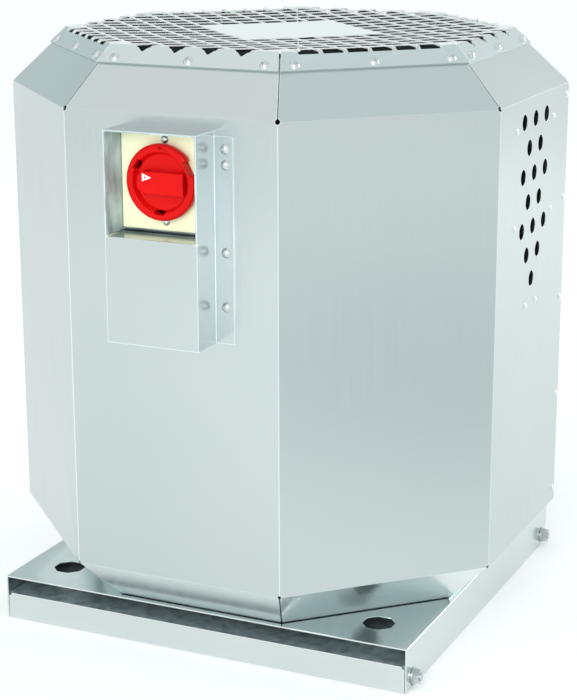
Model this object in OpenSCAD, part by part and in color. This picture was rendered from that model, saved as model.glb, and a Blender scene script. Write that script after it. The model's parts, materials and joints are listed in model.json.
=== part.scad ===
// Roof extract fan with an octagonal sheet-metal casing, a perforated discharge guard,
// a tilting two-part base and a rotary isolator switch under its own hood.
// +Z is up, the switch faces -Y, and the vented face looks along +X.

/* [Base] */
// Side length of the square base
base_w = 435; // [430:1:440]
// Height of the top of the base plate
plate_top = 45; // [44:0.5:48]
// Height of the top of the curb frame's floor
floor_top = 27; // [26:0.5:28]
// Thickness of the folded sheet
sheet = 1.5; // [1.2:0.1:1.6]
// Distance between the curb fixing holes, both ways
fixing_pitch = 342; // [340:1:344]
// Width across flats of the octagonal access holes above the fixing holes
access_d = 29.5; // [26:0.5:30]
// Inner radius of the duct collar
collar_r = 123.5; // [115:0.5:124]

/* [Casing] */
// Width of the octagonal casing across its flat faces
casing_af = 515; // [512:1:518]
// Width of the casing's foot across its flat faces
foot_af = 420; // [418:1:422]
// Height of the eave, where the roof slope starts
eave_z = 532; // [531:1:535]
// Pitch of the seam rivets
seam_pitch = 103.6; // [100:0.2:104]

/* [Guard] */
// Width of the guard's flat top across its flat edges
guard_af = 413; // [412:0.5:414]
// Height of the guard's top face
guard_top = 586; // [585.5:0.5:586.5]
// Thickness of the guard's sheet
guard_t = 2; // [1.5:0.1:2]
// Pitch of the square openings
cell_pitch = 23.6; // [23:0.1:24]
// Width of the webs between the openings
web_w = 3; // [2.5:0.1:4]
// Openings left unpunched along each side of the blank middle
blank_cells = 6; // [4:2:8]

/* [Vents] */
// Diameter of the vent holes
vent_d = 15.3; // [12:0.1:16]
// Distance between vent rows
vent_row_pitch = 26; // [25:0.1:26]
// Sideways distance between the vents of a row
vent_pitch = 34.2; // [32:0.1:34.5]

/* [Switch] */
// Width of the switch hood
hood_w = 92; // [91:0.5:94]
// Depth of the switch hood in front of the casing
hood_depth = 36.2; // [34:0.1:38]
// Lower edge of the hood
hood_bottom = 329; // [320:1:335]
// Upper edge of the hood
hood_top = 521.5; // [521:0.5:524]
// Height of the sill of the hood's window
sill_z = 426; // [420:1:427]
// Height of the handle's axis
handle_z = 474.3; // [473:0.1:475]
// Diameter of the handle
handle_d = 69; // [60:1:70]

/* [Fan] */
// Diameter of the impeller
impeller_d = 340; // [320:5:345]
// Number of impeller blades
blade_count = 7; // [5:1:9]
// Radius of the inlet nozzle's throat
throat_r = 100; // [98:0.5:101]
// Radius of the motor shaft
shaft_r = 9.5; // [8:0.5:10]
// Outer radius of the motor compartment
housing_r = 148; // [145:1:150]

/* [Hidden] */
$fn = 48;
fit = 0.05;
gap = 0.3;
diag = sqrt(2);
half_w = base_w / 2;
plate_under = plate_top - sheet;
floor_under = floor_top - sheet;
fixing = fixing_pitch / 2;
frame_half = half_w - sheet - 0.5;
stud_z = 12;
stud_y = 200;
stud_r = 4;
washer_r = 8;
seal_in = 150;
seal_out = 165;
wall_r = casing_af / 2;
foot_r = foot_af / 2;
taper_top = plate_top + wall_r - foot_r;
roof_in = 209;
roof_end_z = eave_z + wall_r - roof_in;
vertex_r = wall_r / cos(22.5);
vertex_s = wall_r * tan(22.5);
foot_flange = 15;
front_faces = [5, 6, 7, 8];
rear_faces = [1, 2, 3, 4];
seam_s = 100;
seam_top = 520;
seam_heights = [for (i = [0:4]) seam_top - seam_pitch * i];
guard_r = guard_af / 2;
guard_flange = 21.5;
guard_screw_d = 15.5;
guard_screw_s = 75.5;
cell = cell_pitch - web_w;
bent_cell = cell - 0.6;
cell_rows = 9;
vent_top = 510;
vent_rows = [3, 2, 3, 2, 3, 2, 1];
duct_top = 522;
duct_in = 137;
duct_half = 50;
duct_flange = 14;
duct_rivets = [[-57, 504], [57, 504], [-57, 412], [57, 412], [-16, 329], [16, 329]];
hood_front = -wall_r - hood_depth;
hood_screws_right = [505.5, 491.4, 413, 363.4];
hood_screws_left = [413, 363.4];
hood_screw_x = 57;
inner_screw_x = 36.5;
plate_w = 88;
plate_low = 429.5;
plate_high = 519;
plate_front = -264;
plate_back = -261;
plate_screw_z = [511.4, 437.5];
switch_back = -205;
handle_back = plate_front - 0.4;
handle_front = -275;
dish_floor = -268.5;
grip_front = -279;
impeller_r = impeller_d / 2;
back_z = 180;
shroud_z = 90;
shaft_bottom = 180;
shaft_top = 412;
motor_plate_z = 212;
motor_plate_t = 4;
motor_z = motor_plate_z + motor_plate_t;
leg_r = 8;
leg_circle = 185;
leg_top = 205;
nozzle_screw_r = 157;
frame_r = 62;
frame_low = 228;
frame_high = 385;
bearing_r = 20;
bearing_h = 12;
housing_top = 526;
lid_z = 534;
lid_r = 158;
rim_screw_r = 139;
cable_r = 5;
cable_y = -215;
cable_z = 315;
cable_bend = 30;

// Shared shapes

// A box between two corners
module block(low, high) {
    translate(low) cube(high - low);
}

// A tube standing on z0
module ring(outer, inner, z0, z1) {
    translate([0, 0, z0]) difference() {
        cylinder(r = outer, h = z1 - z0);
        translate([0, 0, -1]) cylinder(r = inner, h = z1 - z0 + 2);
    }
}

// Children repeated around the Z axis at a radius
module around(count, radius, start = 0) {
    for (i = [0:count - 1]) rotate([0, 0, start + 360 * i / count]) translate([radius, 0, 0]) children();
}

// Children at the four fixing positions
module at_fixings() {
    for (x = [-fixing, fixing], y = [-fixing, fixing]) translate([x, y, 0]) children();
}

// Children on casing face k, s sideways, z up, facing outwards from radius r
module on_wall(k, s, z, r) {
    rotate([0, 0, 45 * k]) translate([r, s, z]) rotate([0, 90, 0]) children();
}

// Children on the roof slope of face k, d down the slope from the guard's rim
module on_slope(k, s, d) {
    drop = d / diag;
    rotate([0, 0, 45 * k]) translate([guard_r + drop, s, guard_top - drop]) rotate([0, 45, 0]) children();
}

// Pan-head screw with a cross recess, seated on z = 0 and pointing down
module pan_screw(head_d, shank_r, length) {
    head_h = 0.3 * head_d;
    dome_r = (head_d * head_d / 4 + head_h * head_h) / (2 * head_h);
    difference() {
        union() {
            intersection() {
                translate([0, 0, head_h - dome_r]) sphere(r = dome_r);
                cylinder(d = head_d, h = head_h);
            }
            translate([0, 0, -length]) cylinder(r = shank_r, h = length + 0.1);
        }
        for (turn = [0, 90]) rotate([0, 0, turn]) translate([0, 0, head_h * 1.05]) {
            cube([0.56 * head_d, 0.16 * head_d, head_h], center = true);
        }
    }
}

// Domed rivet seated on z = 0 and pointing down
module rivet(head_d, shank_r, length) {
    head_h = 0.22 * head_d;
    dome_r = (head_d * head_d / 4 + head_h * head_h) / (2 * head_h);
    intersection() {
        translate([0, 0, head_h - dome_r]) sphere(r = dome_r);
        cylinder(d = head_d, h = head_h);
    }
    translate([0, 0, -length]) cylinder(r = shank_r, h = length + 0.1);
}

// One face of an octagonal shell, cut at its two mitres; the profile is [radius, height] points
module octagon_face(k, profile) {
    reach = 400;
    half = reach * tan(22.5);
    rotate([0, 0, 45 * k]) intersection() {
        linear_extrude(height = 700) polygon([[0, 0], [reach, -half], [reach, half]]);
        rotate([90, 0, 0]) translate([0, 0, -200]) linear_extrude(height = 400) polygon(profile);
    }
}

// Curb frame and its fastenings

module curb_frame() {
    color([0.86, 0.88, 0.89]) difference() {
        union() {
            block([-frame_half, -half_w, floor_under], [frame_half, half_w, floor_top]);
            for (side = [-1, 1]) {
                block([-frame_half, side * (half_w - sheet / 2) - sheet / 2, 0],
                      [frame_half, side * (half_w - sheet / 2) + sheet / 2, floor_top]);
                block([side * (frame_half - sheet / 2) - sheet / 2, -half_w + 4, 0],
                      [side * (frame_half - sheet / 2) + sheet / 2, half_w - 4, floor_top]);
            }
        }
        translate([0, 0, floor_under - 1]) cylinder(r = collar_r + sheet + 0.5, h = sheet + 2, $fn = 96);
        translate([0, 0, floor_under - 1]) at_fixings() cylinder(r = 5.5, h = sheet + 2);
        translate([0, 0, floor_under - 1]) around(8, 137, 22.5) cylinder(r = 2 + fit, h = sheet + 2);
        for (x = [-1, 1], y = [-1, 1]) {
            translate([x * frame_half, y * half_w, floor_top]) sphere(r = 3);
        }
        for (y = [-stud_y, stud_y]) {
            translate([-half_w, y, stud_z]) rotate([0, 90, 0]) cylinder(r = stud_r + fit, h = base_w);
        }
    }
}

module curb_seal() {
    color([0.16, 0.17, 0.18]) difference() {
        block([-205, -205, floor_under - 4], [205, 205, floor_under]);
        block([-190, -190, floor_under - 5], [190, 190, floor_under + 1]);
    }
}

module air_seal() {
    color([0.16, 0.17, 0.18]) ring(seal_out, seal_in, floor_top, plate_under - gap);
}

module duct_collar() {
    color([0.80, 0.83, 0.84]) difference() {
        union() {
            ring(collar_r + sheet, collar_r, 0, floor_top + sheet);
            ring(145, collar_r, floor_top, floor_top + sheet);
        }
        translate([0, 0, floor_top - 1]) around(8, 137, 22.5) cylinder(r = 2 + fit, h = sheet + 2);
    }
}

module collar_rivets() {
    color([0.70, 0.73, 0.75]) around(8, 137, 22.5) {
        translate([0, 0, floor_top + sheet]) rivet(8, 2, 2 * sheet + 1);
    }
}

// Welded stud through the frame's side flange, for side +1 or -1
module side_stud(side, y) {
    translate([side * (frame_half - sheet), y, stud_z]) rotate([0, side * 90, 0]) {
        translate([0, 0, -2]) cylinder(r = 6, h = 2);
        cylinder(r = stud_r, h = 11.5);
        translate([0, 0, 11.5]) cylinder(r = stud_r - 0.6, h = 0.8);
    }
}

module pivot_studs() {
    color([0.62, 0.65, 0.67]) for (side = [-1, 1]) side_stud(side, stud_y);
}

module lock_studs() {
    color([0.62, 0.65, 0.67]) for (side = [-1, 1]) side_stud(side, -stud_y);
}

module stud_washers() {
    color([0.72, 0.75, 0.77]) for (side = [-1, 1], y = [-stud_y, stud_y]) {
        translate([side * (half_w + gap), y, stud_z]) rotate([0, side * 90, 0]) {
            ring(washer_r, stud_r + fit, 0, 1.6);
        }
    }
}

module stud_nuts() {
    color([0.62, 0.65, 0.67]) for (side = [-1, 1], y = [-stud_y, stud_y]) {
        translate([side * (half_w + gap + 1.6), y, stud_z]) rotate([0, side * 90, 0]) difference() {
            cylinder(r = 6.5 / cos(30), h = 5.5, $fn = 6);
            translate([0, 0, -1]) cylinder(r = stud_r + fit, h = 9);
        }
    }
}

// Base plate and air inlet

// Side skirt outline, [y, z], rounded about the rear pivot so that it clears the curb as it tilts
module skirt_outline() {
    difference() {
        union() {
            translate([-half_w, 0]) square([half_w + stud_y, plate_top]);
            polygon([
                [stud_y, stud_z], [stud_y + stud_z, stud_z], [half_w, 24],
                [half_w, plate_top], [stud_y, plate_top]
            ]);
            translate([stud_y, stud_z]) circle(r = stud_z);
        }
        translate([stud_y, stud_z]) circle(r = stud_r + 0.08);
        translate([-stud_y, stud_z]) circle(r = stud_r + 1);
        translate([-stud_y - stud_r - 1, -1]) square([2 * stud_r + 2, stud_z + 1]);
    }
}

module base_plate() {
    color([0.60, 0.65, 0.67]) {
        difference() {
            block([-half_w, -half_w, plate_under], [half_w, half_w, plate_top]);
            translate([0, 0, plate_under - 1]) {
                cylinder(r = seal_in - 2, h = sheet + 2, $fn = 96);
                at_fixings() rotate([0, 0, 22.5]) cylinder(d = access_d / cos(22.5), h = sheet + 2, $fn = 8);
                around(4, leg_circle, 45) cylinder(r = 4 + fit, h = sheet + 2);
                around(8, nozzle_screw_r) cylinder(r = 2.4 + fit, h = sheet + 2);
                around(8, foot_r - 7.5) cylinder(r = 2 + fit, h = sheet + 2);
            }
        }
        for (x = [-half_w, half_w - sheet]) {
            translate([x, 0, 0]) rotate([90, 0, 90]) linear_extrude(height = sheet) skirt_outline();
        }
    }
}

module inlet_nozzle() {
    bend = plate_top + 48;
    color([0.78, 0.81, 0.82]) difference() {
        rotate_extrude($fn = 96) {
            intersection() {
                difference() {
                    translate([throat_r + 48, bend]) circle(r = 48);
                    translate([throat_r + 48, bend]) circle(r = 48 - sheet);
                }
                translate([throat_r, plate_top]) square([48, 48]);
            }
            translate([throat_r, bend]) square([sheet, 7]);
            translate([throat_r + 48, plate_top]) square([18, sheet]);
        }
        translate([0, 0, plate_top - 1]) around(8, nozzle_screw_r) cylinder(r = 2.4 + fit, h = sheet + 2);
    }
}

module nozzle_screws() {
    color([0.70, 0.73, 0.75]) around(8, nozzle_screw_r) {
        translate([0, 0, plate_top + sheet]) pan_screw(8, 2.4, 2 * sheet);
    }
}

// Casing

function shell_profile() = [
    [foot_r - foot_flange, plate_top],
    [foot_r, plate_top],
    [wall_r, taper_top],
    [wall_r, eave_z],
    [roof_in, roof_end_z],
    [roof_in, roof_end_z - sheet * diag],
    [wall_r - sheet, eave_z - sheet * (diag - 1)],
    [wall_r - sheet, taper_top + sheet * (diag - 1)],
    [foot_r + sheet - sheet * diag, plate_top + sheet],
    [foot_r - foot_flange, plate_top + sheet]
];

// Slits and round corner reliefs at the eight corners of the folded shell
module corner_cuts() {
    slit = 0.8;
    for (i = [0:7]) rotate([0, 0, 22.5 + 45 * i]) {
        block([150, -slit / 2, eave_z], [300, slit / 2, guard_top]);
        block([150, -slit / 2, 0], [300, slit / 2, taper_top]);
        translate([vertex_r - 12, 0, eave_z]) rotate([0, 90, 0]) cylinder(r = 2.2, h = 20);
        translate([vertex_r - 12, 0, taper_top]) rotate([0, 90, 0]) cylinder(r = 1.6, h = 20);
    }
}

// Lap strip inside the neighbouring face, at the side of face k with the highest s
module seam_lap(k) {
    rotate([0, 0, 45 * k]) {
        block([wall_r - 2 * sheet - fit, vertex_s - 14, taper_top + 4],
              [wall_r - sheet - fit, vertex_s + 1.2, eave_z - 4]);
    }
}

// Holes for the guard's screws in the slope of face k
module guard_screw_holes(k, depth) {
    for (s = [-1, 0, 1]) on_slope(k, s * guard_screw_s, guard_screw_d) {
        translate([0, 0, -depth]) cylinder(r = 2.4 + fit, h = depth + 2);
    }
}

module casing_shell(faces, lap_face) {
    difference() {
        union() {
            for (k = faces) octagon_face(k, shell_profile());
            seam_lap(lap_face);
        }
        corner_cuts();
        for (k = faces) guard_screw_holes(k, 9);
        around(8, foot_r - 7.5) translate([0, 0, plate_top - 1]) cylinder(r = 2 + fit, h = sheet + 2);
        for (k = [0, 4], z = seam_heights) on_wall(k, seam_s, z, wall_r - 6) cylinder(r = 2 + fit, h = 8);
    }
}

// Vent hole positions [y, z] of the triangular pattern
function vent_points() = [
    for (row = [0:len(vent_rows) - 1], i = [0:vent_rows[row] - 1])
        [(i - (vent_rows[row] - 1) / 2) * vent_pitch, vent_top - vent_row_pitch * row]
];

module casing_front() {
    color([0.80, 0.84, 0.85]) difference() {
        casing_shell(front_faces, 4);
        for (p = vent_points()) on_wall(0, p[0], p[1], wall_r - 5) cylinder(d = vent_d, h = 8);
        for (p = duct_rivets) on_wall(0, p[0], p[1], wall_r - 5) cylinder(r = 2 + fit, h = 8);
        for (z = hood_screws_right) on_wall(6, hood_screw_x, z, wall_r - 5) cylinder(r = 2.4 + fit, h = 8);
        for (z = hood_screws_left) on_wall(6, -inner_screw_x, z, wall_r - 5) cylinder(r = 2.4 + fit, h = 8);
        block([-31, -wall_r - 1, handle_z - 31], [31, -wall_r + 5, handle_z + 31]);
        for (z = plate_screw_z) rod_y(0, z, -wall_r - 1, -wall_r + 5, 2 + fit);
    }
}

module casing_rear() {
    color([0.76, 0.80, 0.81]) casing_shell(rear_faces, 0);
}

module seam_rivets() {
    color([0.72, 0.75, 0.77]) for (k = [0, 4], z = seam_heights) {
        on_wall(k, seam_s, z, wall_r) rivet(7.5, 2, 2 * sheet + 1);
    }
}

module foot_rivets() {
    color([0.72, 0.75, 0.77]) around(8, foot_r - 7.5) {
        translate([0, 0, plate_top + sheet]) rivet(7.5, 2, 2 * sheet + 1);
    }
}

// Discharge guard

// True where the cell centred on column i and row j is punched
function punched(i, j) =
    let (u = (i + 0.5) * cell_pitch, v = (j + 0.5) * cell_pitch)
    let (blank = (blank_cells / 2) * cell_pitch)
    max(abs(u), abs(v)) > blank
    && max(abs(u + v), abs(u - v)) / diag < guard_r
    && (max(abs(u), abs(v)) < 8 * cell_pitch || min(abs(u), abs(v)) < 3 * cell_pitch);

// Distance over the bend from an opening's centre, r from the axis, to the flange's top edge
function flange_gap(r) = guard_r - r;

module guard() {
    flange_end = guard_flange / diag;
    profile = [
        [guard_r - 2, guard_top],
        [guard_r, guard_top],
        [guard_r + flange_end, guard_top - flange_end],
        [guard_r + flange_end - guard_t / diag, guard_top - flange_end - guard_t / diag],
        [guard_r - guard_t * (diag - 1), guard_top - guard_t],
        [guard_r - 2, guard_top - guard_t]
    ];
    color([0.88, 0.91, 0.92]) difference() {
        union() {
            translate([0, 0, guard_top - guard_t]) rotate([0, 0, 22.5]) {
                cylinder(r = (guard_r - 1) / cos(22.5), h = guard_t, $fn = 8);
            }
            for (k = [0:7]) octagon_face(k, profile);
        }
        translate([0, 0, guard_top - guard_t - 0.1]) rotate([0, 0, 45])
            linear_extrude(height = guard_t + 1) {
            for (i = [-cell_rows:cell_rows - 1], j = [-cell_rows:cell_rows - 1]) {
                centre = [(i + 0.5) * cell_pitch, (j + 0.5) * cell_pitch];
                if (punched(i, j)) translate(centre) square(cell, center = true);
            }
        }
        for (k = [0, 2, 4, 6], s = [-3, -1, 1, 3]) {
            on_slope(k, s * cell_pitch * diag / 2, -flange_gap(12 * cell_pitch * diag / 2)) {
                rotate([0, 0, 45])
                    block([-bent_cell / 2, -bent_cell / 2, -4], [bent_cell / 2, bent_cell / 2, 2]);
            }
        }
        for (k = [1, 3, 5, 7], s = [-5, -3, -1, 1, 3, 5]) {
            on_slope(k, s * cell_pitch / 2, -flange_gap(8.5 * cell_pitch)) {
                block([-bent_cell / 2, -bent_cell / 2, -4], [bent_cell / 2, bent_cell / 2, 2]);
            }
        }
        for (k = [0:7]) guard_screw_holes(k, 4);
        for (i = [0:7]) rotate([0, 0, 22.5 + 45 * i]) {
            block([guard_r / cos(22.5) - 2, -0.8, guard_top - 40], [guard_r + 60, 0.8, guard_top + 1]);
        }
    }
}

module guard_screws() {
    color([0.75, 0.78, 0.80]) for (k = [0:7], s = [-1, 0, 1]) {
        on_slope(k, s * guard_screw_s, guard_screw_d) pan_screw(9.7, 2.4, 8);
    }
}

// Isolator switch and its hood

module switch_hood() {
    half = hood_w / 2;
    back = -wall_r;
    color([0.84, 0.87, 0.88]) difference() {
        union() {
            for (x = [-half, half - sheet]) block([x, hood_front, hood_bottom], [x + sheet, back, hood_top]);
            block([-half, hood_front, hood_top - sheet], [half, back, hood_top]);
            block([-half, hood_front, hood_bottom], [half, hood_front + sheet, sill_z]);
            block([-half, hood_front, sill_z - sheet], [half, plate_front, sill_z]);
            block([half - sheet, back - sheet, hood_bottom + 0.5], [half + 18.5, back, hood_top - 4.5]);
            block([-half, back - sheet, hood_bottom + 0.5], [-half + 18, back, sill_z - 4]);
        }
        for (z = hood_screws_right) on_wall(6, hood_screw_x, z, wall_r - 2) cylinder(r = 2.4 + fit, h = 6);
        for (z = hood_screws_left) on_wall(6, -inner_screw_x, z, wall_r - 2) cylinder(r = 2.4 + fit, h = 6);
        for (x = [-half + 1, half - 1]) rod_y(x, sill_z, hood_front - 1, hood_front + 2, 1.2);
    }
}

module hood_screws() {
    color([0.75, 0.78, 0.80]) {
        for (z = hood_screws_right) on_wall(6, hood_screw_x, z, wall_r + sheet) pan_screw(9.4, 2.4, 8);
        for (z = hood_screws_left) on_wall(6, -inner_screw_x, z, wall_r + sheet) pan_screw(9.4, 2.4, 8);
    }
}

// A rod along +Y from y0 to y1 at [x, z]
module rod_y(x, z, y0, y1, r) {
    translate([x, y0, z]) rotate([-90, 0, 0]) cylinder(r = r, h = y1 - y0);
}

module switch_plate() {
    color([1.0, 0.98, 0.78]) difference() {
        block([-plate_w / 2, plate_front, plate_low], [plate_w / 2, plate_back, plate_high]);
        rod_y(0, handle_z, plate_front - 1, plate_back + 1, shaft_hole());
        for (z = plate_screw_z) rod_y(0, z, plate_front - 1, plate_back + 1, 2 + fit);
    }
}

function shaft_hole() = 4 + fit;

module switch_plate_screws() {
    color([0.75, 0.78, 0.80]) for (z = plate_screw_z) on_wall(6, 0, z, -plate_front) pan_screw(7.6, 2, 8);
}

module switch_body() {
    color([0.32, 0.34, 0.36]) difference() {
        union() {
            block([-38, plate_back, plate_low + 4], [38, -wall_r, plate_high - 4]);
            block([-30, -wall_r, handle_z - 30], [30, switch_back, handle_z + 30]);
            translate([0, cable_y, handle_z - 44]) cylinder(r = 9, h = 14.1, $fn = 6);
        }
        rod_y(0, handle_z, plate_back - 1, switch_back + 10, shaft_hole());
        for (z = plate_screw_z) rod_y(0, z, plate_back - 1, plate_back + 6, 2 + fit);
        translate([0, cable_y, handle_z - 45]) cylinder(r = cable_r + fit, h = 25);
    }
}

module switch_handle() {
    rim_r = handle_d / 2;
    depth = handle_back - handle_front;
    skirt = 4;
    round = 3;
    dish_r = 27;
    grip_half = 10;
    grip_left = -14;
    tip_half = 5.5;
    color([0.90, 0.08, 0.09]) difference() {
        union() {
            translate([0, handle_back, handle_z]) rotate([90, 0, 0]) rotate_extrude($fn = 96) difference() {
                union() {
                    square([30, depth]);
                    translate([0, skirt]) square([rim_r, depth - skirt - round]);
                    translate([0, skirt]) square([rim_r - round, depth - skirt]);
                    translate([rim_r - round, depth - round]) circle(r = round);
                }
                polygon([
                    [0, handle_back - dish_floor], [dish_r - 2, handle_back - dish_floor],
                    [dish_r + 1, depth + 1], [0, depth + 1]
                ]);
            }
            block([grip_left, grip_front, handle_z - grip_half], [25, dish_floor + 1, handle_z + grip_half]);
            translate([grip_left, grip_front, handle_z]) rotate([-90, 0, 0]) {
                linear_extrude(height = dish_floor - grip_front + 1) {
                    polygon([[0.1, -grip_half], [0.1, grip_half], [-7, tip_half], [-7, -tip_half]]);
                }
            }
        }
        rod_y(0, handle_z, dish_floor, plate_front + 1, shaft_hole());
        translate([0, 0, handle_z]) {
            rotate([0, -27, 0])
                block([rim_r - 5, handle_front - 2, -6.5], [rim_r + 2, plate_front + 1, 6.5]);
            for (turn = [147, 267]) rotate([0, -turn, 0]) {
                block([25.5, handle_front - 2, -5], [29, plate_front + 1, 5]);
            }
        }
        rod_y(0, handle_z + rim_r - 4, handle_front - 1, handle_front + 1, 0.8);
    }
}

module pointer_mark() {
    thick = 0.4;
    color("white") translate([-10, grip_front - thick, handle_z + 4.8]) rotate([-90, 0, 0]) {
        linear_extrude(height = thick) difference() {
            polygon([[-5.2, -3.6], [-5.2, 3.6], [4, 0]]);
            translate([-2.4, 0]) circle(r = 1);
        }
    }
}

module switch_shaft() {
    color([0.70, 0.73, 0.75]) rod_y(0, handle_z, dish_floor, switch_back + 8, 4);
}

// Ventilation duct of the motor compartment

// Duct outline, [y, z], grown sideways and downwards by g
function duct_outline(g) = [
    [-duct_half - g, duct_top],
    [duct_half + g, duct_top],
    [duct_half + g, 400 - g / 2],
    [12 + g, 338 - g],
    [-12 - g, 338 - g],
    [-duct_half - g, 400 - g / 2]
];

// Duct outline extruded along X from x0 to x1
module duct_solid(g, x0, x1) {
    translate([x0, 0, 0]) rotate([90, 0, 90]) linear_extrude(height = x1 - x0) polygon(duct_outline(g));
}

module vent_duct() {
    wall_in = wall_r - sheet - fit;
    color([0.74, 0.78, 0.80]) difference() {
        union() {
            duct_solid(0, duct_in, wall_in);
            duct_solid(duct_flange, wall_in - sheet, wall_in);
        }
        intersection() {
            duct_solid(-sheet, duct_in - 1, wall_in + 1);
            block([0, -100, 0], [300, 100, duct_top - sheet]);
        }
        for (p = duct_rivets) on_wall(0, p[0], p[1], wall_in - 4) cylinder(r = 2 + fit, h = 6);
    }
}

module vent_rivets() {
    color([0.72, 0.75, 0.77]) for (p = duct_rivets) {
        on_wall(0, p[0], p[1], wall_r) rivet(7.5, 2, 2 * sheet + 1);
    }
}

// Motor support

module support_legs() {
    color([0.62, 0.65, 0.67]) around(4, leg_circle, 45) difference() {
        union() {
            translate([0, 0, plate_top]) cylinder(r = leg_r, h = leg_top - plate_top);
            translate([0, 0, leg_top - 0.1]) cylinder(r = 4, h = 20);
        }
        translate([0, 0, plate_top - 1]) cylinder(r = 4 + fit, h = 21);
    }
}

module leg_bolts() {
    color([0.62, 0.65, 0.67]) around(4, leg_circle, 45) {
        translate([0, 0, plate_under - 5.3]) cylinder(r = 6.5 / cos(30), h = 5.3, $fn = 6);
        translate([0, 0, plate_under - 0.1]) cylinder(r = 4, h = 18);
    }
}

module rubber_dampers() {
    color([0.12, 0.12, 0.13]) around(4, leg_circle, 45) ring(15, 4 + fit, leg_top, motor_plate_z);
}

module leg_nuts() {
    color([0.62, 0.65, 0.67]) around(4, leg_circle, 45) difference() {
        union() {
            translate([0, 0, motor_z]) cylinder(r = 9, h = 1.6);
            translate([0, 0, motor_z + 1.5]) cylinder(r = 6.5 / cos(30), h = 6.5, $fn = 6);
        }
        translate([0, 0, motor_z - 1]) cylinder(r = 4 + fit, h = 12);
    }
}

module motor_plate() {
    color([0.66, 0.69, 0.71]) difference() {
        union() {
            translate([0, 0, motor_plate_z]) cylinder(r = housing_r + 2, h = motor_plate_t);
            for (turn = [45, 135]) rotate([0, 0, turn])
                block([-198, -20, motor_plate_z], [198, 20, motor_z]);
        }
        translate([0, 0, motor_plate_z - 1]) {
            cylinder(r = 40, h = motor_plate_t + 2);
            around(4, leg_circle, 45) cylinder(r = 4 + fit, h = motor_plate_t + 2);
            around(4, 65) cylinder(r = 3 + fit, h = motor_plate_t + 2);
            around(6, rim_screw_r, 30) cylinder(r = 2.4 + fit, h = motor_plate_t + 2);
        }
    }
}

// Motor

module motor_frame() {
    color([0.36, 0.40, 0.43]) {
        ring(frame_r, 56, frame_low, frame_high);
        for (i = [0:19]) rotate([0, 0, -50 + 280 * i / 19]) {
            block([frame_r - 0.5, -1.2, frame_low + 6], [70, 1.2, frame_high - 6]);
        }
    }
}

module lower_end_shield() {
    color([0.36, 0.40, 0.43]) difference() {
        union() {
            translate([0, 0, motor_z]) cylinder(r = 80, h = frame_low - motor_z);
            translate([0, 0, motor_plate_z]) cylinder(r = 40 - fit, h = 5);
            translate([0, 0, frame_low - 0.1]) cylinder(r = 28, h = 10.1);
        }
        translate([0, 0, 200]) cylinder(r = 12, h = 50);
        translate([0, 0, 226]) cylinder(r = bearing_r, h = 20);
        translate([0, 0, motor_z - 5]) around(4, 65) cylinder(r = 3 + fit, h = 16);
    }
}

module upper_end_shield() {
    color([0.36, 0.40, 0.43]) difference() {
        union() {
            translate([0, 0, frame_high]) cylinder(r = 64.9, h = 8);
            translate([0, 0, frame_high - 13]) cylinder(r = 28, h = 13.1);
        }
        translate([0, 0, 360]) cylinder(r = 12, h = 50);
        translate([0, 0, 360]) cylinder(r = bearing_r, h = 26);
    }
}

module motor_bearings() {
    color([0.80, 0.82, 0.84]) for (z = [226, 374]) ring(bearing_r, shaft_r + fit, z, z + bearing_h);
}

module motor_bolts() {
    color([0.62, 0.65, 0.67]) around(4, 65) {
        translate([0, 0, motor_plate_z - 4]) cylinder(r = 5 / cos(30), h = 4, $fn = 6);
        translate([0, 0, motor_plate_z - 0.1]) cylinder(r = 3, h = 13);
    }
}

module stator_core() {
    color([0.45, 0.47, 0.50]) ring(56, 35, 255, 345);
}

module stator_windings() {
    color([0.72, 0.42, 0.20]) for (z = [243, 345]) ring(52, 38, z, z + 12);
}

module fan_cowl() {
    color([0.30, 0.33, 0.36]) difference() {
        union() {
            ring(66.5, 65, frame_high, 420);
            ring(66.5, 12, 418.5, 420);
        }
        for (radius = [24, 40]) translate([0, 0, 415]) around(radius / 4, radius) cylinder(r = 5, h = 10);
    }
}

module terminal_box() {
    color([0.30, 0.33, 0.36]) difference() {
        union() {
            block([-32, -114, 290], [32, -72, 340]);
            block([-20, -72.1, 298], [20, -50, 332]);
        }
        block([-30, -112, 292], [30, -74, 341]);
        translate([0, 0, 280]) cylinder(r = frame_r + fit, h = 80);
        rod_y(0, cable_z, -120, -105, cable_r + fit);
    }
}

module terminal_lid() {
    color([0.30, 0.33, 0.36]) block([-33, -115, 340], [33, -71, 343]);
}

module terminal_gland() {
    color([0.20, 0.21, 0.22]) difference() {
        translate([0, -122, cable_z]) rotate([-90, 0, 0]) cylinder(r = 9, h = 8, $fn = 6);
        rod_y(0, cable_z, -125, -110, cable_r + fit);
    }
}

module motor_cable() {
    bend_z = cable_z + cable_bend;
    color([0.10, 0.10, 0.11]) {
        translate([0, cable_y, bend_z]) cylinder(r = cable_r, h = handle_z - 30 - bend_z);
        translate([0, cable_y + cable_bend, bend_z]) rotate([90, 0, 90]) rotate([0, 0, 180]) {
            rotate_extrude(angle = 90) translate([cable_bend, 0]) circle(r = cable_r);
        }
        rod_y(0, cable_z, cable_y + cable_bend, -108, cable_r);
    }
}

module cable_grommet() {
    color([0.10, 0.10, 0.11]) difference() {
        union() {
            rod_y(0, cable_z, -housing_r - 3.5, -housing_r - 0.5, 11);
            rod_y(0, cable_z, -housing_r - 1, -housing_r + 5, 7.5);
        }
        rod_y(0, cable_z, -housing_r - 5, -housing_r + 10, cable_r + fit);
    }
}

// Motor compartment

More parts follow.
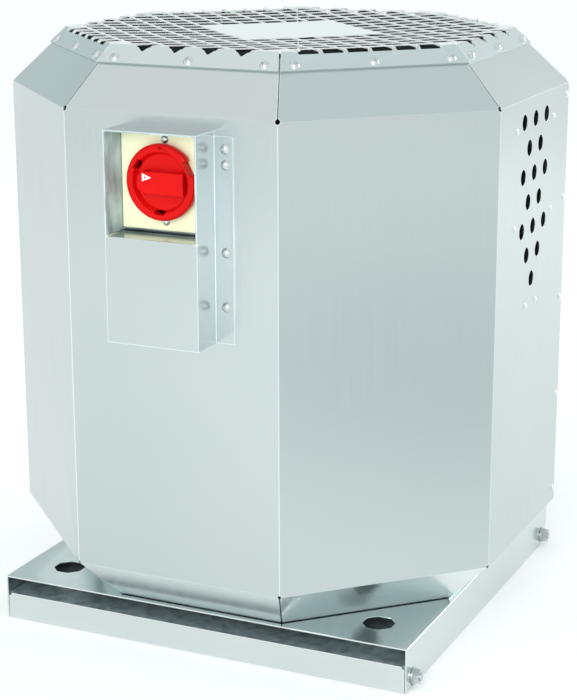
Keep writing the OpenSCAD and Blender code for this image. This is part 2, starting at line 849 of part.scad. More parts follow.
module motor_housing() {
    color([0.74, 0.78, 0.80]) difference() {
        union() {
            ring(housing_r, housing_r - sheet, motor_z, housing_top);
            ring(housing_r, housing_r - 16, motor_z, motor_z + sheet);
            ring(housing_r, housing_r - 16, housing_top - sheet, housing_top);
        }
        duct_solid(gap, 100, 200);
        rod_y(0, cable_z, -housing_r - 5, -housing_r + 10, 7.5 + fit);
        translate([0, 0, motor_z - 1]) around(6, rim_screw_r, 30) cylinder(r = 2.4 + fit, h = sheet + 2);
        translate([0, 0, housing_top - 3]) around(6, rim_screw_r, 30) cylinder(r = 2.4 + fit, h = 5);
    }
}

module housing_screws() {
    color([0.70, 0.73, 0.75]) around(6, rim_screw_r, 30) {
        translate([0, 0, motor_z + sheet]) pan_screw(8, 2.4, sheet + motor_plate_t + 2);
    }
}

module housing_lid() {
    color([0.76, 0.80, 0.82]) difference() {
        union() {
            translate([0, 0, lid_z]) cylinder(r = lid_r, h = sheet);
            ring(lid_r, lid_r - sheet, lid_z - 16, lid_z + sheet);
        }
        translate([0, 0, lid_z - 1]) around(6, rim_screw_r, 30) cylinder(r = 2.4 + fit, h = sheet + 2);
        block([100, -duct_half - 3, lid_z - 20], [200, duct_half + 3, lid_z - 5]);
    }
}

module lid_spacers() {
    color([0.20, 0.21, 0.22]) around(6, rim_screw_r, 30) ring(5.5, 2.4 + fit, housing_top, lid_z);
}

module lid_screws() {
    color([0.75, 0.78, 0.80]) around(6, rim_screw_r, 30) {
        translate([0, 0, lid_z + sheet]) pan_screw(9, 2.4, sheet + lid_z - housing_top + sheet + 3);
    }
}

// Rotor and impeller

module motor_shaft() {
    color([0.78, 0.80, 0.82]) difference() {
        translate([0, 0, shaft_bottom]) cylinder(r = shaft_r, h = shaft_top - shaft_bottom);
        translate([0, 0, shaft_bottom - 1]) cylinder(r = 3 + fit, h = 16);
    }
}

module rotor_core() {
    color([0.50, 0.52, 0.55]) ring(34.5, shaft_r + fit / 5, 255, 345);
}

module cooling_fan() {
    color([0.15, 0.16, 0.18]) {
        ring(15, shaft_r + fit / 5, 397, 411);
        ring(50, 14.5, 397, 399);
        for (i = [0:7]) rotate([0, 0, 45 * i]) block([14.5, -1, 398.5], [50, 1, 411]);
    }
}

module impeller_hub() {
    color([0.55, 0.58, 0.60]) {
        ring(28, shaft_r + fit / 5, 178, 206);
        ring(45, 27.5, back_z + 2, back_z + 7);
    }
}

module impeller_back_plate() {
    color([0.78, 0.81, 0.82]) ring(impeller_r, 28 + fit, back_z, back_z + 2);
}

module impeller_blades() {
    inner = 112;
    blade_r = 95;
    outer = impeller_r - 2;
    top = back_z - fit;
    color([0.78, 0.81, 0.82]) around(blade_count, 0) intersection() {
        translate([96, -68, shroud_z]) difference() {
            cylinder(r = blade_r, h = top - shroud_z);
            translate([0, 0, -1]) cylinder(r = blade_r - 2, h = back_z);
        }
        block([0, 0, 0], [impeller_r, impeller_r, 300]);
        rotate_extrude() polygon([[inner, 109], [125, 117.4], [outer, 125.4], [outer, top], [inner, top]]);
    }
}

module impeller_shroud() {
    color([0.78, 0.81, 0.82]) rotate_extrude($fn = 96) polygon([
        [104, shroud_z], [105.5, shroud_z], [105.5, 101.4], [125, 115.2],
        [impeller_r, 123.4], [impeller_r, 125.4], [124.4, 117.2], [104, 102.6]
    ]);
}

module retaining_bolt() {
    color([0.62, 0.65, 0.67]) {
        translate([0, 0, 170]) cylinder(r = 5 / cos(30), h = 5.1, $fn = 6);
        translate([0, 0, 175]) cylinder(r = 15, h = 3);
        translate([0, 0, 177.9]) cylinder(r = 3, h = 15);
    }
}

curb_frame();
curb_seal();
air_seal();
duct_collar();
collar_rivets();
pivot_studs();
lock_studs();
stud_washers();
stud_nuts();
base_plate();
inlet_nozzle();
nozzle_screws();
casing_front();
casing_rear();
seam_rivets();
foot_rivets();
guard();
guard_screws();
switch_hood();
hood_screws();
switch_plate();
switch_plate_screws();
switch_body();
switch_handle();
pointer_mark();
switch_shaft();
vent_duct();
vent_rivets();
support_legs();
leg_bolts();
rubber_dampers();
leg_nuts();
motor_plate();
motor_frame();
lower_end_shield();
upper_end_shield();
motor_bearings();
motor_bolts();
stator_core();
stator_windings();
fan_cowl();
terminal_box();
terminal_lid();
terminal_gland();
motor_cable();
cable_grommet();
motor_housing();
housing_screws();
housing_lid();
lid_spacers();
lid_screws();
motor_shaft();
rotor_core();
cooling_fan();
impeller_hub();
impeller_back_plate();
impeller_blades();
impeller_shroud();
retaining_bolt();
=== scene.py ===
import json
import math

import bmesh
import bpy
from mathutils import Matrix, Vector

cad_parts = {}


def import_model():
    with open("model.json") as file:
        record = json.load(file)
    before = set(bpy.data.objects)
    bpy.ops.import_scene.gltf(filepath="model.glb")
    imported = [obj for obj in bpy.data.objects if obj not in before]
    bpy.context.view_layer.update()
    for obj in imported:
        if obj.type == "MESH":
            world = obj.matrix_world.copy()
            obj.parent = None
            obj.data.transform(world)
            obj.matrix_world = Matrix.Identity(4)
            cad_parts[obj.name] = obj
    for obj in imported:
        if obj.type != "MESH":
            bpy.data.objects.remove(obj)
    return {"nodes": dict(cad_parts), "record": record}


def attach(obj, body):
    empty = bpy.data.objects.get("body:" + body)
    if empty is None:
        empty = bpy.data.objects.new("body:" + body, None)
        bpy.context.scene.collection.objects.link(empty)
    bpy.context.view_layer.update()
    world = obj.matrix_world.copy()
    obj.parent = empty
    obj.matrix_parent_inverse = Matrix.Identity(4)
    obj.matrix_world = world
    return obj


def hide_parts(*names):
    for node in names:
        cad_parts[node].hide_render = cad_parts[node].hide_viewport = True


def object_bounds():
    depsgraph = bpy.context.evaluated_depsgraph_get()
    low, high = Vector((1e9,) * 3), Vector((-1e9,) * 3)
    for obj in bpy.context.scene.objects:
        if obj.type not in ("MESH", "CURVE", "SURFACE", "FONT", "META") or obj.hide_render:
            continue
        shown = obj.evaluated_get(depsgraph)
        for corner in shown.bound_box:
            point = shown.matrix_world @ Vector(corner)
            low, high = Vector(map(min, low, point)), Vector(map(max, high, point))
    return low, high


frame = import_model()
cad_low, cad_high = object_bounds()

MM = 0.001
NODES = frame["nodes"]
BODY_OF = {node: body for body, nodes in frame["record"]["behaviour"]["bodies"].items() for node in nodes}
SLOT_OF = {row["node"]: row["material_slot"] for row in frame["record"]["subparts"]}


# ---------------------------------------------------------------- materials

# Pattern scales of the sheet metal, in repeats per metre
CLOUD_SCALE = 5.0
WAVE_SCALE = 9.0
MOTTLE_SCALE = 85.0
CRYSTAL_SCALE = 110.0
STREAK_SCALE = 420.0
# Width of the painted highlight along cut edges and folds
EDGE_RADIUS = 1.6 * MM
# Colour of the painted shade on faces that look towards the fan's axis
SHADE = (0.10, 0.13, 0.135)
# Colour of the painted shade in the gap where the casing's foot meets the base plate
FOOT_GAP_SHADE = (0.08, 0.10, 0.105)


def shader(name):
    """A new node material and its tree, with the shader's main node."""
    mat = bpy.data.materials.new(name)
    mat.use_nodes = True
    tree = mat.node_tree
    return mat, tree, tree.nodes["Principled BSDF"]


def add(tree, kind, **values):
    """A node with its properties and, for names it has as inputs, its input values."""
    node = tree.nodes.new(kind)
    for key, value in values.items():
        if hasattr(node, key):
            setattr(node, key, value)
        else:
            node.inputs[key.replace("_", " ")].default_value = value
    return node


def coordinates(tree, scale, turn=0.0):
    """Object coordinates turned about Z and stretched by scale along each axis."""
    coord = add(tree, "ShaderNodeTexCoord")
    mapping = add(tree, "ShaderNodeMapping")
    mapping.inputs["Scale"].default_value = scale
    mapping.inputs["Rotation"].default_value = (0, 0, math.radians(turn))
    tree.links.new(coord.outputs["Object"], mapping.inputs["Vector"])
    return mapping.outputs["Vector"]


def noise(tree, vector, scale, detail=3.0, rough=0.5):
    """A cloudy pattern from 0 to 1, in repeats per metre of the vector."""
    node = add(tree, "ShaderNodeTexNoise", Scale=scale, Detail=detail, Roughness=rough)
    tree.links.new(vector, node.inputs["Vector"])
    return node.outputs["Fac"]


def remap(tree, value, low, high, from_low=0.0, from_high=1.0):
    """The value socket carried from the from_ range over to low and high, and held within them."""
    node = add(tree, "ShaderNodeMapRange")
    node.inputs["From Min"].default_value = from_low
    node.inputs["From Max"].default_value = from_high
    node.inputs["To Min"].default_value = low
    node.inputs["To Max"].default_value = high
    tree.links.new(value, node.inputs["Value"])
    return node.outputs["Result"]


def colour_mix(tree, factor):
    """The lower input, the upper input and the output of a colour mix driven by factor."""
    mix = add(tree, "ShaderNodeMix", data_type="RGBA")
    tree.links.new(factor, mix.inputs["Factor"])
    lower, upper = [socket for socket in mix.inputs if socket.type == "RGBA"]
    return lower, upper, next(socket for socket in mix.outputs if socket.type == "RGBA")


def smooth_step(tree, value, low, high):
    """0 below low, 1 above high and a smooth change between."""
    node = add(tree, "ShaderNodeMapRange", interpolation_type="SMOOTHSTEP")
    node.inputs["From Min"].default_value = low
    node.inputs["From Max"].default_value = high
    tree.links.new(value, node.inputs["Value"])
    return node.outputs["Result"]


def blend_colours(tree, factor, first, second):
    """A plain colour between first and second, by factor."""
    lower, upper, result = colour_mix(tree, factor)
    lower.default_value = (*first, 1)
    upper.default_value = (*second, 1)
    return result


def over(tree, factor, below, colour):
    """The colour socket below with a plain colour laid over it by factor."""
    lower, upper, result = colour_mix(tree, factor)
    tree.links.new(below, lower)
    upper.default_value = (*colour, 1)
    return result


def combine(tree, operation, first, second):
    """The result of a maths operation on two sockets."""
    node = add(tree, "ShaderNodeMath", operation=operation)
    tree.links.new(first, node.inputs[0])
    tree.links.new(second, node.inputs[1])
    return node.outputs["Value"]


def multiply_add(tree, value, factor, addend):
    """The value socket times a fixed factor, plus the addend socket."""
    node = add(tree, "ShaderNodeMath", operation="MULTIPLY_ADD")
    tree.links.new(value, node.inputs[0])
    node.inputs[1].default_value = factor
    tree.links.new(addend, node.inputs[2])
    return node.outputs["Value"]


def normal_z(tree):
    """The Z part of the face normal: 1 on level tops, 0 on upright faces."""
    geometry = add(tree, "ShaderNodeNewGeometry")
    split = add(tree, "ShaderNodeSeparateXYZ")
    tree.links.new(geometry.outputs["Normal"], split.inputs["Vector"])
    return split.outputs["Z"]


def edge_mask(tree, radius):
    """1 on sharp edges and 0 on flat faces."""
    bevel = add(tree, "ShaderNodeBevel", samples=6)
    bevel.inputs["Radius"].default_value = radius
    geometry = add(tree, "ShaderNodeNewGeometry")
    dot = add(tree, "ShaderNodeVectorMath", operation="DOT_PRODUCT")
    tree.links.new(bevel.outputs["Normal"], dot.inputs[0])
    tree.links.new(geometry.outputs["Normal"], dot.inputs[1])
    return remap(tree, dot.outputs["Value"], 1.0, 0.0, 0.80, 0.995)


def bump(tree, height, strength, distance, bsdf):
    """Surface relief from a height socket."""
    node = add(tree, "ShaderNodeBump")
    node.inputs["Strength"].default_value = strength
    node.inputs["Distance"].default_value = distance
    tree.links.new(height, node.inputs["Height"])
    tree.links.new(node.outputs["Normal"], bsdf.inputs["Normal"])


def inside_mask(tree, low, high):
    """1 within the box from low to high, in object coordinates, and 0 outside."""
    coord = add(tree, "ShaderNodeTexCoord")
    split = add(tree, "ShaderNodeSeparateXYZ")
    tree.links.new(coord.outputs["Object"], split.inputs["Vector"])
    result = None
    for axis in range(3):
        for operation, limit in (("GREATER_THAN", low[axis]), ("LESS_THAN", high[axis])):
            test = add(tree, "ShaderNodeMath", operation=operation)
            tree.links.new(split.outputs[axis], test.inputs[0])
            test.inputs[1].default_value = limit
            passed = test.outputs["Value"]
            result = combine(tree, "MULTIPLY", result, passed) if result else passed
    return result


def inward_mask(tree):
    """1 on faces that look towards the fan's axis and 0 elsewhere."""
    coord = add(tree, "ShaderNodeTexCoord")
    geometry = add(tree, "ShaderNodeNewGeometry")
    flat = add(tree, "ShaderNodeVectorMath", operation="MULTIPLY")
    tree.links.new(coord.outputs["Object"], flat.inputs[0])
    flat.inputs[1].default_value = (1, 1, 0)
    outward = add(tree, "ShaderNodeVectorMath", operation="NORMALIZE")
    tree.links.new(flat.outputs["Vector"], outward.inputs[0])
    dot = add(tree, "ShaderNodeVectorMath", operation="DOT_PRODUCT")
    tree.links.new(outward.outputs["Vector"], dot.inputs[0])
    tree.links.new(geometry.outputs["Normal"], dot.inputs[1])
    return remap(tree, dot.outputs["Value"], 1.0, 0.0, -0.4, -0.2)


def mix_values(tree, factor, below, value):
    """The value socket below moved towards a fixed value by factor."""
    mix = add(tree, "ShaderNodeMix", data_type="FLOAT")
    tree.links.new(factor, mix.inputs["Factor"])
    tree.links.new(below, mix.inputs["A"])
    mix.inputs["B"].default_value = value
    return mix.outputs["Result"]


def sheet_tone(tree, space, streak, streaks, spangle):
    """A cloudy tone from 0 to 1 with rolling streaks and, by spangle, zinc crystals."""
    cloud = noise(tree, space, CLOUD_SCALE, 3.0, 0.45)
    tone = multiply_add(tree, streak, streaks, remap(tree, cloud, 0.0, 1.0 - streaks, 0.3, 0.7))
    if spangle:
        wobble = noise(tree, space, 70.0, 2.0)
        offset = add(tree, "ShaderNodeVectorMath", operation="ADD")
        tree.links.new(space, offset.inputs[0])
        tree.links.new(remap(tree, wobble, -0.008, 0.008), offset.inputs[1])
        crystals = add(tree, "ShaderNodeTexVoronoi", Scale=CRYSTAL_SCALE, Randomness=1.0)
        tree.links.new(offset.outputs["Vector"], crystals.inputs["Vector"])
        grey = add(tree, "ShaderNodeSeparateColor")
        tree.links.new(crystals.outputs["Color"], grey.inputs["Color"])
        tone = multiply_add(tree, grey.outputs["Red"], spangle, tone)
    return tone


def top_light_mask(tree):
    """1 on level tops and on upright cut faces, 0 on slopes and undersides."""
    height = normal_z(tree)
    steep = add(tree, "ShaderNodeMath", operation="ABSOLUTE")
    tree.links.new(height, steep.inputs[0])
    level = remap(tree, height, 0.0, 1.0, 0.86, 0.96)
    upright = remap(tree, steep.outputs["Value"], 1.0, 0.0, 0.1, 0.4)
    return combine(tree, "MAXIMUM", level, upright)


def sheet_metal(name, dark, light, rough, stretch=(1, 1, 0.03), turn=0.0, streaks=0.2, spangle=0.0,
                metallic=1.0, grain=0.01, edge=None, dull_and_shade=None, dull_and_shade_box=None, shaded=False, top=None,
                under=None, gap_shade_box=None):
    """Zinc-coated sheet: cloudy tone, faint rolling streaks, soft spangle and painted highlights along cut
    edges and folds.

    Within the dull box the sheet is duller, mottled and rougher, and on the curb frame's inside its darker
    colour is painted shade. A shaded sheet has painted shade where it faces the fan's axis. With a top
    colour its level faces and upright cut faces are painted pale and matt as painted light.
    Faces that look down take a painted reflection colour, and within the line box runs a line of painted
    shade where the casing's foot meets the base plate.
    """
    mat, tree, bsdf = shader(name)
    space = coordinates(tree, (1, 1, 1))
    streak = noise(tree, coordinates(tree, stretch, turn), STREAK_SCALE, 2.0)
    colour = blend_colours(tree, sheet_tone(tree, space, streak, streaks, spangle), dark, light)
    spread = 0.035 if grain else 0.005
    roughness = remap(tree, streak, rough - spread, rough + spread, 0.3, 0.7)
    bsdf.inputs["Metallic"].default_value = metallic
    # Painted shade: faces that look towards the fan's axis are painted dark and rougher
    if shaded:
        mask = inward_mask(tree)
        colour = over(tree, mask, colour, SHADE)
        roughness = mix_values(tree, mask, roughness, 0.5)
    # Painted light: level tops and upright cut faces are painted pale and less metallic
    if top:
        mask = top_light_mask(tree)
        colour = over(tree, mask, colour, top)
        tree.links.new(remap(tree, mask, metallic, 0.25), bsdf.inputs["Metallic"])
    # Painted highlight: cut edges and folds take a pale colour
    if edge:
        colour = over(tree, edge_mask(tree, EDGE_RADIUS), colour, edge)
    # Painted reflection: faces that look down are painted lighter
    if under:
        colour = over(tree, remap(tree, normal_z(tree), 1.0, 0.0, -0.6, -0.25), colour, under)
    # Painted shade: a dark line where the casing's foot meets the base plate
    if gap_shade_box:
        colour = over(tree, inside_mask(tree, *gap_shade_box), colour, FOOT_GAP_SHADE)
    # Duller, mottled, rougher finish within the box; the curb frame's darker inside colour there is
    # painted shade
    if dull_and_shade:
        mask = inside_mask(tree, *dull_and_shade_box)
        colour = over(tree, mask, colour, dull_and_shade)
        mottle = noise(tree, coordinates(tree, (1, 1, 0.4)), MOTTLE_SCALE, 4.0)
        darker_mottle = combine(tree, "MULTIPLY", remap(tree, mottle, 0.0, 0.85, 0.42, 0.68), mask)
        colour = over(tree, darker_mottle, colour, [0.45 * value for value in dull_and_shade])
        roughness = mix_values(tree, mask, roughness, 0.45)
        tree.links.new(remap(tree, mask, metallic, 0.2), bsdf.inputs["Metallic"])
    tree.links.new(colour, bsdf.inputs["Base Color"])
    tree.links.new(roughness, bsdf.inputs["Roughness"])
    if grain:
        waves = multiply_add(tree, streak, grain, noise(tree, space, WAVE_SCALE, 1.0))
        bump(tree, waves, 0.35, 0.0010, bsdf)
    return mat


def bright_metal(name, dark, light, rough, scale=900.0):
    """Plated or ground metal of small parts, with fine scratches."""
    mat, tree, bsdf = shader(name)
    bsdf.inputs["Metallic"].default_value = 1.0
    scratch = noise(tree, coordinates(tree, (1, 1, 0.2)), scale, 4.0)
    tree.links.new(blend_colours(tree, scratch, dark, light), bsdf.inputs["Base Color"])
    tree.links.new(remap(tree, scratch, rough - 0.06, rough + 0.10, 0.3, 0.7), bsdf.inputs["Roughness"])
    bump(tree, scratch, 0.05, 0.0001, bsdf)
    return mat


def moulded(name, dark, light, rough, texture=0.06, scale=1400.0, shine=0.5):
    """Injection-moulded plastic with a fine spark texture and slight tone changes."""
    mat, tree, bsdf = shader(name)
    fine = noise(tree, coordinates(tree, (1, 1, 1)), scale, 2.0)
    cloud = noise(tree, coordinates(tree, (1, 1, 1)), 24.0, 2.0)
    tone = remap(tree, cloud, 0.0, 1.0, 0.35, 0.65)
    tree.links.new(blend_colours(tree, tone, dark, light), bsdf.inputs["Base Color"])
    tree.links.new(remap(tree, fine, rough - 0.04, rough + 0.05, 0.3, 0.7), bsdf.inputs["Roughness"])
    bsdf.inputs["Specular IOR Level"].default_value = shine
    bump(tree, fine, texture, 0.0001, bsdf)
    return mat


def rubber(name, dark, light):
    """Matt rubber with fine pores."""
    mat, tree, bsdf = shader(name)
    pores = noise(tree, coordinates(tree, (1, 1, 1)), 1800.0, 3.0)
    tree.links.new(blend_colours(tree, pores, dark, light), bsdf.inputs["Base Color"])
    tree.links.new(remap(tree, pores, 0.6, 0.85), bsdf.inputs["Roughness"])
    bump(tree, pores, 0.25, 0.0002, bsdf)
    return mat


def enamel(name, dark, light):
    """Orange-peel machine enamel over castings."""
    mat, tree, bsdf = shader(name)
    peel = noise(tree, coordinates(tree, (1, 1, 1)), 420.0, 2.0)
    cloud = noise(tree, coordinates(tree, (1, 1, 1)), 18.0, 3.0)
    tree.links.new(blend_colours(tree, cloud, dark, light), bsdf.inputs["Base Color"])
    bsdf.inputs["Roughness"].default_value = 0.42
    bsdf.inputs["Coat Weight"].default_value = 0.25
    bump(tree, peel, 0.15, 0.0004, bsdf)
    return mat


def windings(name):
    """Round copper wire laid side by side."""
    mat, tree, bsdf = shader(name)
    bsdf.inputs["Metallic"].default_value = 0.85
    wave = add(tree, "ShaderNodeTexWave", Scale=420.0, Distortion=1.2, bands_direction="Z")
    tree.links.new(coordinates(tree, (1, 1, 1)), wave.inputs["Vector"])
    colour = blend_colours(tree, wave.outputs["Fac"], (0.30, 0.10, 0.03), (0.75, 0.33, 0.13))
    tree.links.new(colour, bsdf.inputs["Base Color"])
    bsdf.inputs["Roughness"].default_value = 0.35
    bump(tree, wave.outputs["Fac"], 0.6, 0.0006, bsdf)
    return mat


def laminations(name):
    """A stack of thin steel sheets."""
    mat, tree, bsdf = shader(name)
    bsdf.inputs["Metallic"].default_value = 1.0
    wave = add(tree, "ShaderNodeTexWave", Scale=320.0, bands_direction="Z")
    tree.links.new(coordinates(tree, (1, 1, 1)), wave.inputs["Vector"])
    colour = blend_colours(tree, wave.outputs["Fac"], (0.10, 0.11, 0.12), (0.30, 0.32, 0.34))
    tree.links.new(colour, bsdf.inputs["Base Color"])
    bsdf.inputs["Roughness"].default_value = 0.5
    bump(tree, wave.outputs["Fac"], 0.4, 0.0004, bsdf)
    return mat


def box_mm(low, high):
    """A box in metres from its two corners in millimetres."""
    return [value * MM for value in low], [value * MM for value in high]


HOOD_INSIDE = box_mm((-45.3, -301.7, 427), (45.3, -200, 520.8))
# Band at the casing's foot where the line of painted shade runs
CASING_FOOT = box_mm((-300, -300, 44.8), (300, 300, 45.8))
FRAME_INSIDE = box_mm((-216.5, -216.5, 0), (216.5, 216.5, 44.5))
# Colour of the painted highlight along cut edges and folds
EDGE_HIGHLIGHT = (0.92, 0.97, 0.97)

SHEETS = {
    "casing_sheet": {
        "dark": (0.530, 0.585, 0.590), "light": (0.565, 0.615, 0.620), "rough": 0.23, "streaks": 0.08,
        # Painted highlights on edges, painted shade on inward faces, a painted reflection on downward
        # faces and painted shade at the foot
        "edge": EDGE_HIGHLIGHT, "shaded": True, "under": (0.78, 0.84, 0.84), "gap_shade_box": CASING_FOOT,
        # Inside the switch hood the sheet is duller, mottled and rougher
        "dull_and_shade": (0.52, 0.68, 0.72), "dull_and_shade_box": HOOD_INSIDE,
    },
    "guard_sheet": {
        "dark": (0.57, 0.64, 0.645), "light": (0.60, 0.665, 0.67), "rough": 0.28, "streaks": 0.02,
        # Painted light: the guard's level tops and upright cut faces are painted pale
        "grain": 0, "top": (0.93, 0.955, 0.96),
    },
    "base_sheet": {
        "dark": (0.60, 0.66, 0.66), "light": (0.70, 0.75, 0.75), "rough": 0.20, "streaks": 0.35,
        # Painted highlight along the base plate's cut edges and folds
        "stretch": (1, 0.04, 1), "turn": 38, "spangle": 0.10, "edge": EDGE_HIGHLIGHT,
    },
    "frame_sheet": {
        "dark": (0.67, 0.72, 0.725), "light": (0.70, 0.745, 0.75), "rough": 0.25, "streaks": 0.06,
        # Painted highlight along the curb frame's cut edges and folds
        "stretch": (0.04, 1, 1), "spangle": 0.04, "grain": 0, "edge": EDGE_HIGHLIGHT,
        # Inside the curb frame: duller, rougher zinc whose darker colour is painted shade
        "dull_and_shade": (0.28, 0.36, 0.38), "dull_and_shade_box": FRAME_INSIDE,
    },
    # Inner sheet parts are painted near black as painted shade inside the casing
    "inner_sheet": {
        "dark": (0.06, 0.08, 0.085), "light": (0.12, 0.145, 0.15), "rough": 0.50, "spangle": 0.4,
        "metallic": 0.5,
    },
}
BRIGHT_METALS = {
    "rivet_metal": {"dark": (0.62, 0.67, 0.68), "light": (0.76, 0.80, 0.81), "rough": 0.28},
    "screw_metal": {"dark": (0.52, 0.56, 0.57), "light": (0.72, 0.75, 0.76), "rough": 0.22},
    "bolt_metal": {"dark": (0.45, 0.49, 0.50), "light": (0.66, 0.69, 0.70), "rough": 0.30},
    "shaft_steel": {"dark": (0.55, 0.57, 0.58), "light": (0.70, 0.72, 0.73), "rough": 0.20},
    "hub_cast": {"dark": (0.36, 0.38, 0.40), "light": (0.52, 0.54, 0.56), "rough": 0.48, "scale": 300.0},
}
PLASTICS = {
    "yellow_plastic": {"dark": (0.97, 0.98, 0.66), "light": (1.0, 1.0, 0.70), "rough": 0.38},
    "red_plastic": {
        "dark": (0.62, 0.003, 0.003), "light": (0.68, 0.005, 0.005), "rough": 0.26, "texture": 0.02,
        "shine": 0.12,
    },
    "mark_white": {"dark": (0.88, 0.88, 0.88), "light": (0.93, 0.93, 0.93), "rough": 0.40},
    "dark_plastic": {
        "dark": (0.018, 0.020, 0.023), "light": (0.030, 0.033, 0.037), "rough": 0.45, "texture": 0.12,
    },
}
MATERIALS = {
    "rubber": rubber("rubber", (0.012, 0.012, 0.013), (0.03, 0.03, 0.032)),
    "cable_black": rubber("cable_black", (0.010, 0.010, 0.011), (0.022, 0.022, 0.024)),
    "motor_paint": enamel("motor_paint", (0.07, 0.09, 0.11), (0.11, 0.13, 0.15)),
    "core_steel": laminations("core_steel"),
    "copper": windings("copper"),
}
for make, looks in ((sheet_metal, SHEETS), (bright_metal, BRIGHT_METALS), (moulded, PLASTICS)):
    for slot, look in looks.items():
        MATERIALS[slot] = make(slot, **look)


# ---------------------------------------------------------------- pieces

def clean_mesh(node):
    """The node's mesh with its seams welded and its flat faces merged, as a bmesh."""
    bm = bmesh.new()
    bm.from_mesh(NODES[node].data)
    bmesh.ops.remove_doubles(bm, verts=bm.verts, dist=2e-6)
    bmesh.ops.dissolve_limit(bm, angle_limit=math.radians(0.5), verts=bm.verts, edges=bm.edges)
    bmesh.ops.recalc_face_normals(bm, faces=bm.faces)
    return bm


def bevel_edges(bm, low_angle, high_angle, width, segments, min_length=0.0, where=None):
    """Rounds the edges whose faces meet at an angle in the range, in degrees."""
    edges = []
    for edge in bm.edges:
        if where and not all(where(vert.co) for vert in edge.verts):
            continue
        if len(edge.link_faces) == 2 and edge.calc_length() > min_length:
            if low_angle < math.degrees(edge.calc_face_angle(0.0)) < high_angle:
                edges.append(edge)
    bmesh.ops.bevel(bm, geom=edges, offset=width, offset_type="OFFSET", segments=segments, profile=0.5,
                    affect="EDGES", clamp_overlap=False)


def make_piece(bm, node, name):
    """A piece from the bmesh that stands for a CAD node."""
    mesh = bpy.data.meshes.new(name)
    bm.to_mesh(mesh)
    bm.free()
    for polygon in mesh.polygons:
        polygon.use_smooth = True
    mesh.set_sharp_from_angle(angle=math.radians(32))
    piece = bpy.data.objects.new(name, mesh)
    bpy.context.scene.collection.objects.link(piece)
    slot = SLOT_OF[node]
    mesh.materials.clear()
    mesh.materials.append(MATERIALS[slot])
    weighted = piece.modifiers.new("weighted_normals", "WEIGHTED_NORMAL")
    weighted.keep_sharp = True
    weighted.weight = 100
    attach(piece, BODY_OF[node])
    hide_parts(node)
    return piece


def folded_sheet(node, fold=2.5, rim=0.3, fold_at=None):
    """Folded sheet with rounded bends and eased cut edges. With a rim of 0 its square folds stay sharp."""
    bm = clean_mesh(node)
    bevel_edges(bm, 35, 55, fold * MM, 4, min_length=12 * MM, where=fold_at)
    if rim:
        bevel_edges(bm, 60, 120, rim * MM, 1)
    return make_piece(bm, node, node + "_folded")


def eased(node, width, segments=2):
    """A moulded or machined part with its sharp edges rounded."""
    bm = clean_mesh(node)
    bevel_edges(bm, 32, 150, width * MM, segments)
    return make_piece(bm, node, node + "_eased")


def dished_guard(node, sheet, thinner, dish, flat_r):
    """The guard, whose punched top of the given sheet is made thinner and sags towards its middle."""
    bm = bmesh.new()
    bm.from_mesh(NODES[node].data)
    bmesh.ops.remove_doubles(bm, verts=bm.verts, dist=2e-6)
    top = max(v.co.z for v in bm.verts)
    for vert in bm.verts:
        radius = math.hypot(vert.co.x, vert.co.y)
        if vert.co.z > top - 1.5 * sheet and radius < flat_r:
            if vert.co.z < top - 0.5 * sheet:
                vert.co.z += thinner
            vert.co.z -= dish * math.cos(0.5 * math.pi * radius / flat_r)
    bmesh.ops.recalc_face_normals(bm, faces=bm.faces)
    return make_piece(bm, node, node + "_dished")


def above_foot(place):
    """True above the casing's foot, whose folds stay sharp."""
    return place.z > 50 * MM


folded_sheet("casing_front", fold_at=above_foot)
folded_sheet("casing_rear", fold_at=above_foot)
folded_sheet("switch_hood", rim=0)
folded_sheet("base_plate", fold=1.0)
folded_sheet("curb_frame", fold=1.0)
dished_guard("guard", sheet=2 * MM, thinner=1 * MM, dish=3.9 * MM, flat_r=206 * MM)
eased("switch_handle", 0.8, 3)
eased("switch_plate", 0.5)

for node, obj in NODES.items():
    obj.data.materials.clear()
    obj.data.materials.append(MATERIALS[SLOT_OF[node]])


# ---------------------------------------------------------------- studio

def floor():
    """A pale floor that glows faintly as painted light, with a darker, less glowing patch of painted shade
    at the front right.
    """
    mat, tree, bsdf = shader("studio_floor")
    coord = add(tree, "ShaderNodeTexCoord")
    away = add(tree, "ShaderNodeVectorMath", operation="DISTANCE")
    tree.links.new(coord.outputs["Object"], away.inputs[0])
    away.inputs[1].default_value = (1.30, -0.60, 0)
    tone = smooth_step(tree, away.outputs["Value"], 0.2, 1.1)
    colour = blend_colours(tree, tone, (0.58, 0.635, 0.635), (0.73, 0.74, 0.74))
    tree.links.new(colour, bsdf.inputs["Base Color"])
    # Painted light: the floor glows, less so in the darker patch
    bsdf.inputs["Emission Color"].default_value = (1, 1, 1, 1)
    tree.links.new(remap(tree, tone, 0.15, 0.26), bsdf.inputs["Emission Strength"])
    bsdf.inputs["Roughness"].default_value = 0.9
    bsdf.inputs["Specular IOR Level"].default_value = 0.1
    half = 14.0
    corners = [(-half, -half, 0), (half, -half, 0), (half, half, 0), (-half, half, 0)]
    mesh = bpy.data.meshes.new("studio_floor")
    mesh.from_pydata(corners, [], [(0, 1, 2, 3)])
    mesh.materials.append(mat)
    obj = bpy.data.objects.new("studio_floor", mesh)
    obj.location.z = cad_low[2] - 0.2 * MM
    bpy.context.scene.collection.objects.link(obj)


def softbox(name, place, target, size, power):
    """A white area light of the given width and height that looks from place at target."""
    data = bpy.data.lights.new(name, "AREA")
    data.shape = "RECTANGLE"
    data.size, data.size_y = size
    data.energy = power
    obj = bpy.data.objects.new(name, data)
    obj.location = place
    obj.rotation_euler = (Vector(target) - Vector(place)).to_track_quat("-Z", "Y").to_euler()
    bpy.context.scene.collection.objects.link(obj)


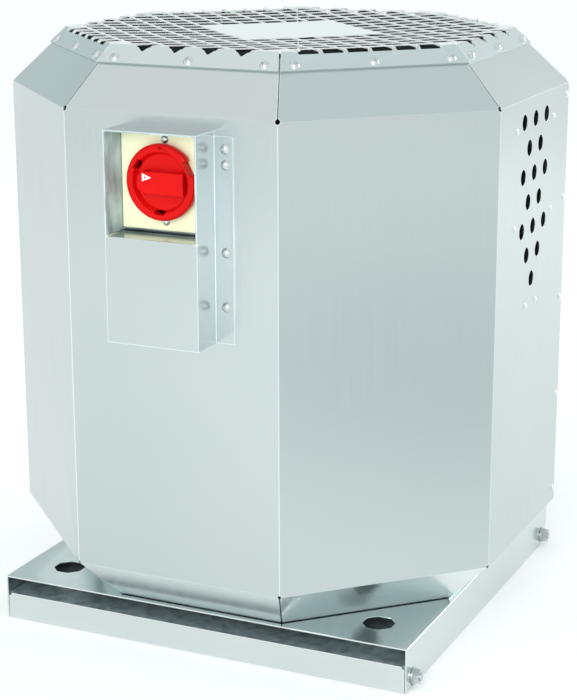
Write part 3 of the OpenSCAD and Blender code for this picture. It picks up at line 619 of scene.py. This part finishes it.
def world():
    """Pale studio surroundings, dimmer at the upper right, at the left and at the back left."""
    scene_world = bpy.data.worlds.new("studio")
    bpy.context.scene.world = scene_world
    scene_world.use_nodes = True
    tree = scene_world.node_tree
    background = tree.nodes["Background"]
    coord = add(tree, "ShaderNodeTexCoord")
    start = add(tree, "ShaderNodeRGB")
    start.outputs["Color"].default_value = (1.07, 1.08, 1.08, 1)
    colour = start.outputs["Color"]
    # Each dimmer area: the direction of its middle, its reach in degrees and its colour
    areas = (
        ((0.60, -0.05, 0.80), 50, (0.86, 0.94, 0.94)),
        ((-0.93, 0.25, 0.30), 44, (0.74, 0.88, 0.88)),
        ((-0.42, 0.86, 0.25), 44, (0.62, 0.71, 0.72)),
    )
    for direction, reach, tone in areas:
        dot = add(tree, "ShaderNodeVectorMath", operation="DOT_PRODUCT")
        tree.links.new(coord.outputs["Generated"], dot.inputs[0])
        dot.inputs[1].default_value = Vector(direction).normalized()
        amount = smooth_step(tree, dot.outputs["Value"], math.cos(math.radians(reach)), 1.0)
        colour = over(tree, amount, colour, tone)
    tree.links.new(colour, background.inputs["Color"])
    background.inputs["Strength"].default_value = 1.0


def camera():
    """The camera, turned about the target from the front towards +X and raised."""
    azimuth, elevation, roll = math.radians(24.70), math.radians(15.46), math.radians(0.13)
    target = Vector((-0.0015, -0.0007, 0.2524))
    distance = 1.9502
    level = math.cos(elevation)
    back = Vector((math.sin(azimuth) * level, -math.cos(azimuth) * level, math.sin(elevation)))
    data = bpy.data.cameras.new("camera")
    data.lens = 96.37
    data.sensor_width = 36.0
    obj = bpy.data.objects.new("camera", data)
    turn = back.to_track_quat("Z", "Y").to_matrix().to_4x4() @ Matrix.Rotation(-roll, 4, "Z")
    obj.matrix_world = Matrix.Translation(target + back * distance) @ turn
    bpy.context.scene.collection.objects.link(obj)
    bpy.context.scene.camera = obj


floor()
world()
softbox("key", (0.55, -2.85, 1.30), (0, 0, 0.35), (1.0, 1.0), 28)
softbox("back", (1.75, 2.0, 1.1), (0.6, 0.9, 0), (1.4, 1.4), 12)
softbox("folds", (0.17, -1.50, 0.14), (0, -0.25, 0.45), (0.45, 0.3), 0.6)
softbox("corner", (0.60, -1.45, 0.18), (0, -0.25, 0.45), (0.4, 0.3), 0.42)
camera()
bpy.context.scene.view_settings.view_transform = "Standard"
